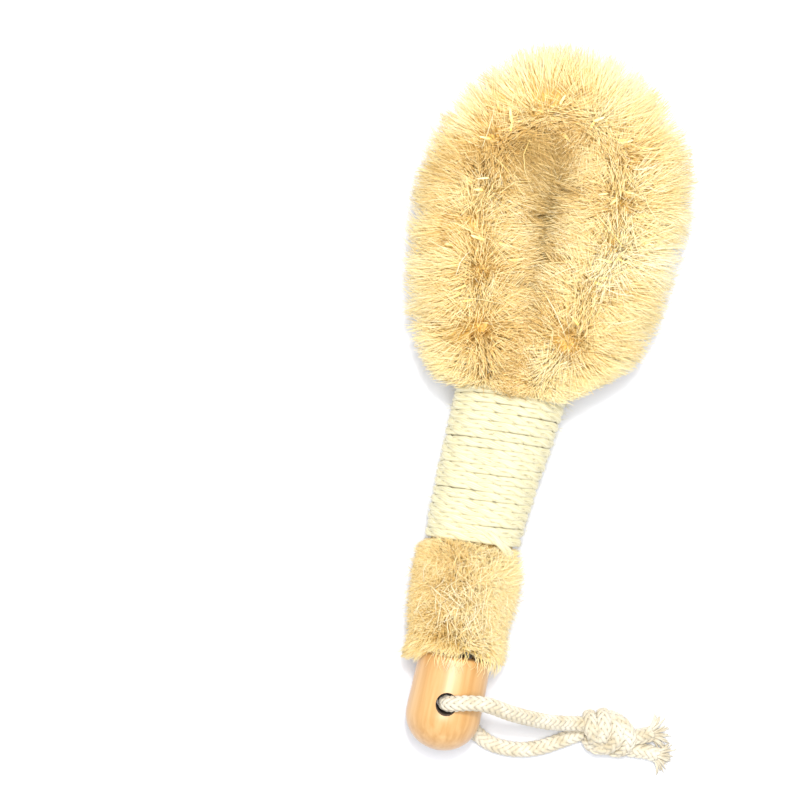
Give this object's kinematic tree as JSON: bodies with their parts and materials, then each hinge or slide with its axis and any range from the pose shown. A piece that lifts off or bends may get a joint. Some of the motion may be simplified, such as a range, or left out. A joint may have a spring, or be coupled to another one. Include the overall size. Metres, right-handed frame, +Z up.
{
  "type": "bath brush",
  "caption": "Oval bath brush of stiff plant-fibre bristles on a twisted wire loop, with a twine-wound grip, a turned wooden end knob and a knotted hanging cord.",
  "frame": {"origin": "on the resting surface, under the middle of the brush's length and width, the cord left out", "axes": "+Y along the brush towards the tip of the head, +Z up from the resting surface, +X across, to the side where the cord lies"},
  "size_m": [0.1345, 0.26, 0.0506],
  "materials": {
    "plant_fibre": "stiff pale golden bristles, matt with a slight sheen",
    "crushed_fibre": "pressed bristles, matt",
    "twine": "cream two-ply twine, soft sheen",
    "galvanised_wire": "dull zinc",
    "varnished_wood": "clear satin varnish on light wood",
    "cotton_cord": "unbleached braided cotton, matt"
  },
  "bodies": {
    "brush": {"wire_strand_a": "galvanised_wire", "wire_strand_b": "galvanised_wire", "head_bristles_left": "plant_fibre", "head_bristles_right": "plant_fibre", "grip_bristles_left": "crushed_fibre", "grip_bristles_right": "crushed_fibre", "collar_bristles_left": "plant_fibre", "collar_bristles_right": "plant_fibre", "grip_twine": "twine", "end_knob": "varnished_wood"},
    "hanging_loop": {"cord_front_strand": "cotton_cord", "cord_back_strand": "cotton_cord", "cord_knot": "cotton_cord", "cord_tail_upper": "cotton_cord", "cord_tail_lower": "cotton_cord"}
  },
  "joints": [
    {"name": "loop_swing", "type": "hinge", "parent": "brush", "child": "hanging_loop", "pos_m": [0, -0.112, 0.02], "axis": [0, 0, 1], "range_deg": [-180, 15]}
  ]
}
